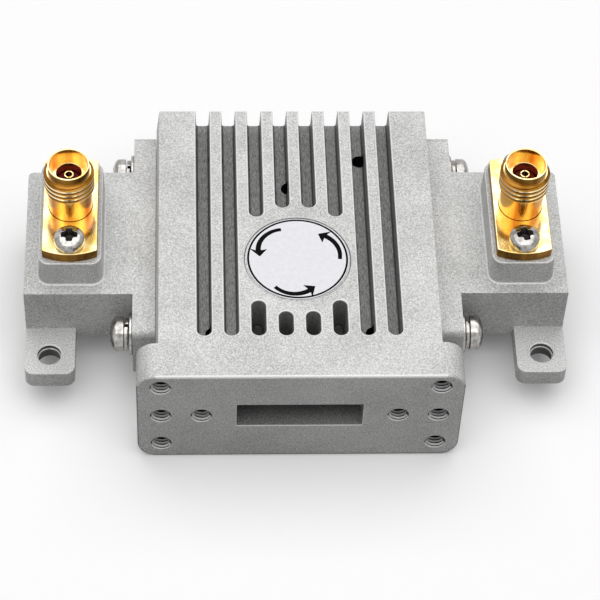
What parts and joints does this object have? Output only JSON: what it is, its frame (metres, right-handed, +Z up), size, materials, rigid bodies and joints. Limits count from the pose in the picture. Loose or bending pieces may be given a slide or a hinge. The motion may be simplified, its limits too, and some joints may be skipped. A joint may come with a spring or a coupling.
{
  "type": "waveguide rf circulator",
  "caption": "Finned metal block with a rectangular waveguide flange at the front and, on each side, a bolted arm that carries a gold-plated threaded coaxial socket.",
  "frame": {"origin": "middle of the footprint, on the surface that the housing stands on", "axes": "+X across both arms to the right, +Y from the waveguide flange to the back, +Z up along the coaxial sockets"},
  "size_m": [0.0698, 0.044, 0.0265],
  "materials": {
    "blasted_aluminium": "fine glass-bead blasted, satin light grey",
    "stainless_steel": "bright, cold formed, barrel polished",
    "gold_plate": "polished gold plate over turned metal",
    "soft_iron": "machined, plain",
    "sintered_magnet": "ground, plain",
    "ferrite_ceramic": "ground black ferrite",
    "white_fluoroplastic": "waxy white",
    "dark_red_plastic": "deep dark red, slightly glossy",
    "label_foil": "satin white foil with three printed black arrows"
  },
  "bodies": {
    "root": {"bottom_cover": "blasted_aluminium", "circulation_label": "label_foil", "cover_screw_front_left": "stainless_steel", "cover_screw_front_right": "stainless_steel", "cover_screw_middle": "stainless_steel", "cover_screw_rear_left": "stainless_steel", "cover_screw_rear_right": "stainless_steel", "ferrite_spacer": "white_fluoroplastic", "housing": "blasted_aluminium", "left_arm": "blasted_aluminium", "left_arm_screw_back": "stainless_steel", "left_arm_screw_front": "stainless_steel", "left_coax_body": "gold_plate", "left_coax_screw_back": "stainless_steel", "left_coax_screw_front": "stainless_steel", "left_contact": "gold_plate", "left_flat_washer_back": "stainless_steel", "left_flat_washer_front": "stainless_steel", "left_insulator": "dark_red_plastic", "left_spring_washer_back": "stainless_steel", "left_spring_washer_front": "stainless_steel", "lower_ferrite": "ferrite_ceramic", "lower_magnet": "sintered_magnet", "lower_magnet_cap": "blasted_aluminium", "lower_pole_piece": "soft_iron", "right_arm": "blasted_aluminium", "right_arm_screw_back": "stainless_steel", "right_arm_screw_front": "stainless_steel", "right_coax_body": "gold_plate", "right_coax_screw_back": "stainless_steel", "right_coax_screw_front": "stainless_steel", "right_contact": "gold_plate", "right_flat_washer_back": "stainless_steel", "right_flat_washer_front": "stainless_steel", "right_insulator": "dark_red_plastic", "right_spring_washer_back": "stainless_steel", "right_spring_washer_front": "stainless_steel", "upper_ferrite": "ferrite_ceramic", "upper_magnet": "sintered_magnet", "upper_magnet_cap": "blasted_aluminium", "upper_pole_piece": "soft_iron"}
  },
  "joints": []
}
